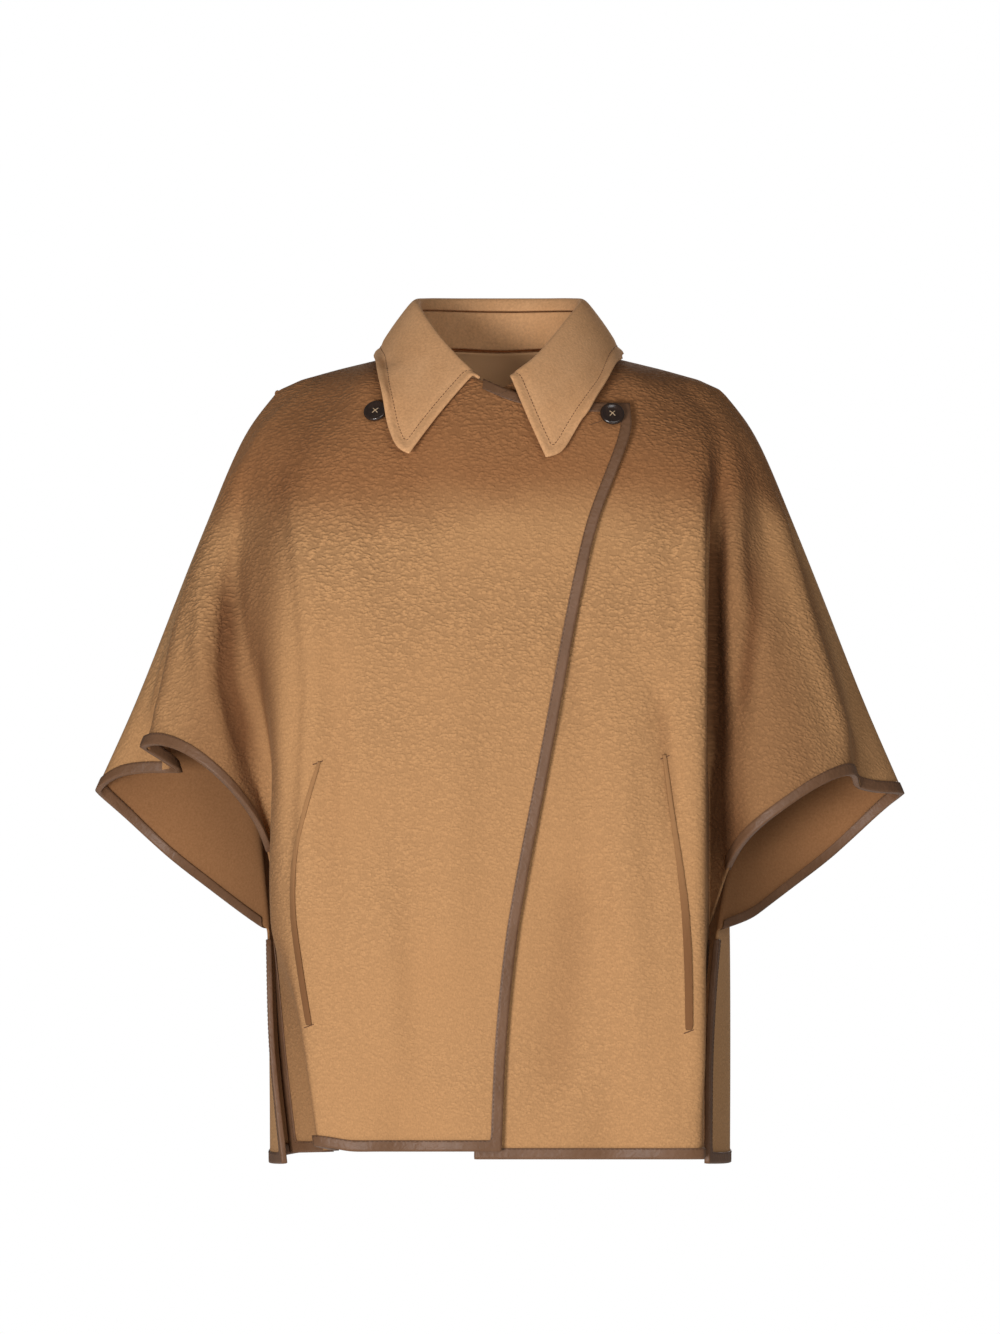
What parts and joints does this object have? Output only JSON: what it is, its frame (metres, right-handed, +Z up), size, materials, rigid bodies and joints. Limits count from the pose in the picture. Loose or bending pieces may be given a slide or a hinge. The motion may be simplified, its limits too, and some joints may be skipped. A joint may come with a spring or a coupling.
{
  "type": "cape jacket",
  "caption": "Cashmere cape-jacket with wide elbow-length sleeves, pointed collar, slanted overlapping front, side slits and leather-bound edges, worn and hollow.",
  "frame": {"origin": "middle of the garment's depth and width at the height of the shoulder line beside the neck, where a hanger or shoulders hold it", "axes": "+Z up, the front faces -Y, +X to the wearer's left"},
  "size_m": [0.7331, 0.2776, 0.788],
  "materials": {
    "cashmere": "matt",
    "leather": "satin",
    "horn": "gloss"
  },
  "bodies": {
    "root": {"front_right": "cashmere", "front_left": "cashmere", "back": "cashmere", "collar": "cashmere", "collar_stand": "cashmere", "pocket_right": "cashmere", "pocket_left": "cashmere", "bind_front_right": "leather", "bind_front_left": "leather", "bind_cuff_right": "leather", "bind_cuff_left": "leather", "bind_back": "leather", "button_right": "horn", "button_left": "horn"}
  },
  "joints": []
}
